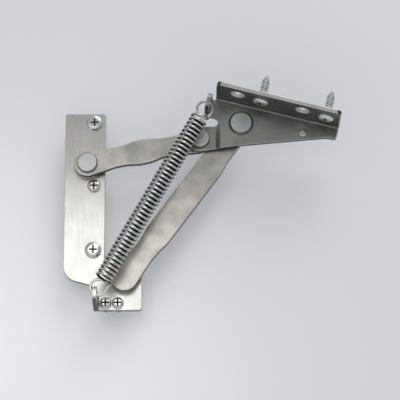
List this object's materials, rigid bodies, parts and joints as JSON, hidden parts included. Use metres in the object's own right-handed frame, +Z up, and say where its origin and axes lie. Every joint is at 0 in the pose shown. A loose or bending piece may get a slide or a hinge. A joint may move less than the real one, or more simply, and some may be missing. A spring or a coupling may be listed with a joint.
{
  "type": "lid stay",
  "caption": "Sprung lid stay: a base plate, two arms and a flap bracket joined as a four-bar linkage, with a tension spring",
  "frame": {"origin": "the axis of the top cabinet screw, on the plane of the cabinet side", "axes": "+Y into the cabinet side, +Z up, +X along the side towards the front of the cabinet"},
  "size_m": [0.1326, 0.041, 0.1109],
  "materials": {
    "plate_steel": "nickel-plated pressed steel sheet",
    "arm_steel": "nickel-plated pressed steel, finely brushed",
    "bracket_steel": "nickel-plated folded steel sheet",
    "ring_steel": "nickel-plated steel",
    "rivet_steel": "nickel-plated turned steel, satin",
    "screw_steel": "bright nickel-plated steel",
    "spring_wire": "bright nickel-plated spring wire"
  },
  "bodies": {
    "base": {"base_plate": "plate_steel", "upper_pivot_ring": "ring_steel", "lower_pivot_ring": "ring_steel", "upper_pivot_rivet": "rivet_steel", "lower_pivot_rivet": "rivet_steel", "top_cabinet_screw": "screw_steel", "middle_cabinet_screw": "screw_steel", "low_cabinet_screw": "screw_steel", "left_foot_screw": "screw_steel", "right_foot_screw": "screw_steel"},
    "upper_arm": {"upper_arm": "arm_steel"},
    "bracket": {"flap_bracket": "bracket_steel", "lobe_rivet": "rivet_steel", "web_rivet": "rivet_steel", "lobe_washer": "ring_steel", "web_washer": "ring_steel", "web_stud": "rivet_steel", "left_flap_screw": "screw_steel", "right_flap_screw": "screw_steel"},
    "lower_arm": {"lower_arm": "arm_steel"},
    "spring": {"tension_spring": "spring_wire"},
    "spring_head": {"spring_top_hook": "spring_wire"}
  },
  "joints": [
    {"name": "upper_arm_pivot", "type": "hinge", "parent": "base", "child": "upper_arm", "pos_m": [-0.0031, -0.0056, -0.0219], "axis": [0, -1, 0], "range_deg": [0, 70.05], "stiffness_Nm_per_rad": 0.3, "springref_deg": -28.65},
    {"name": "lobe_pivot", "type": "hinge", "parent": "upper_arm", "child": "bracket", "pos_m": [0.051, -0.0049, -0.01], "axis": [0, -1, 0], "range_deg": [-145.7, 0]},
    {"name": "web_pivot", "type": "hinge", "parent": "bracket", "child": "lower_arm", "pos_m": [0.0709, -0.0064, -0.00265], "axis": [0, -1, 0], "range_deg": [0, 111.25]},
    {"name": "spring_swing", "type": "hinge", "parent": "base", "child": "spring", "pos_m": [0.0016, -0.0168, -0.0893], "axis": [0, -1, 0], "range_deg": [0, 20.9]},
    {"name": "spring_stretch", "type": "slide", "parent": "spring", "child": "spring_head", "axis": [0.4919, 0, 0.8707], "range_m": [0, 0.0148], "deforming": ["tension_spring", "spring_top_hook"]}
  ],
  "couplings": [
    {"joint": "lobe_pivot", "follows": "upper_arm_pivot", "ratio": -2.0792},
    {"joint": "web_pivot", "follows": "upper_arm_pivot", "ratio": 1.5872},
    {"joint": "spring_swing", "follows": "upper_arm_pivot", "ratio": 0.29755},
    {"joint": "spring_stretch", "follows": "upper_arm_pivot", "m_per_rad": 0.012085}
  ]
}
